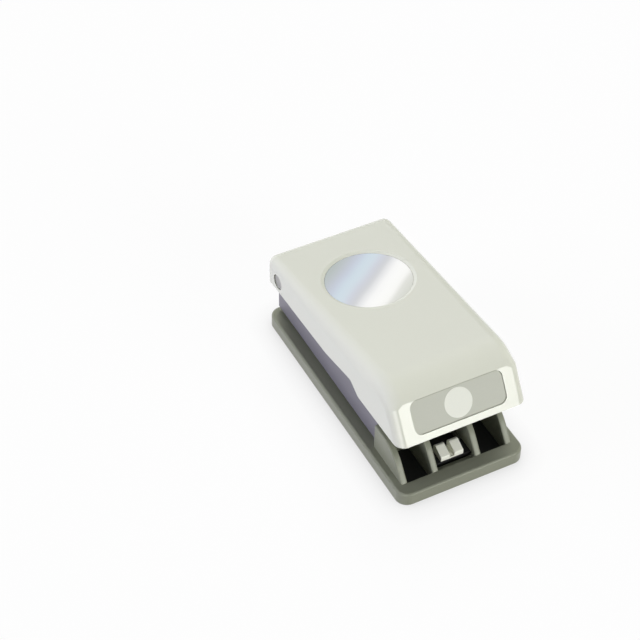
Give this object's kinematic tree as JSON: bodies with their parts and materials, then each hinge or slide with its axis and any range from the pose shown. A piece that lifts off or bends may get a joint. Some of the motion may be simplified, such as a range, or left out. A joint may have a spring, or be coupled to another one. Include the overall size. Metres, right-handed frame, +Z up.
{
  "type": "circle craft punch",
  "caption": "Lever-action craft punch: a hinged cream lever drives a round steel cutter through a die plate in a low grey base, with an open throat for paper.",
  "frame": {"origin": "on the table under the middle of the base", "axes": "+Z up, -Y towards the pressing end of the lever, +X to the right seen from the pressing end's back"},
  "size_m": [0.0792, 0.162, 0.068],
  "materials": {
    "olive_abs": "fine satin moulding",
    "black_abs": "fine satin moulding",
    "zinc_plated_steel": "plated screws",
    "hardened_steel": "ground and hardened",
    "cast_frame": "blue-grey cast metal",
    "spring_steel": "drawn wire and stamped clips",
    "ground_steel": "ground rod",
    "natural_nylon": "turned bushes",
    "cream_abs": "smooth moulding",
    "folded_steel": "folded plated sheet",
    "black_acetal": "smooth moulding",
    "mirror_film": "mirrored sheet",
    "grey_label": "smooth printed plate",
    "white_label": "smooth printed spot",
    "grey_abs": "small moulded caps",
    "white_acetal": "smooth moulding"
  },
  "bodies": {
    "base_body": {"base": "olive_abs", "bottom_plate": "black_abs", "bottom_screws": "zinc_plated_steel", "die_plate": "hardened_steel", "die_screws": "zinc_plated_steel", "frame": "cast_frame", "frame_screws": "zinc_plated_steel", "guide_posts": "ground_steel", "post_clips": "spring_steel", "return_springs": "spring_steel", "hinge_pin": "ground_steel", "hinge_spacers": "natural_nylon", "hinge_washers": "natural_nylon"},
    "lever": {"lever_cover": "cream_abs", "lever_arm": "folded_steel", "arm_screws": "zinc_plated_steel", "presser_pad": "black_acetal", "mirror_disc": "mirror_film", "label_plate": "grey_label", "label_spot": "white_label", "pin_caps": "grey_abs"},
    "punch": {"punch_carrier": "black_acetal", "cutter": "hardened_steel", "cutter_screws": "zinc_plated_steel"},
    "lock": {"lock_slider": "black_acetal", "lock_button": "white_acetal"}
  },
  "joints": [
    {"name": "lever_hinge", "type": "hinge", "parent": "base_body", "child": "lever", "pos_m": [0, 0.0662, 0.0431], "axis": [1, 0, 0], "range_deg": [0, 12], "stiffness_Nm_per_rad": 6, "springref_deg": -8.59},
    {"name": "punch_slide", "type": "slide", "parent": "base_body", "child": "punch", "axis": [0, 0, -1], "range_m": [0, 0.00752], "deforming": ["return_springs"]},
    {"name": "lock_slide", "type": "slide", "parent": "base_body", "child": "lock", "axis": [0, 1, 0], "range_m": [0, 0.005]}
  ],
  "couplings": [
    {"joint": "punch_slide", "follows": "lever_hinge", "m_per_rad": 0.0359}
  ]
}
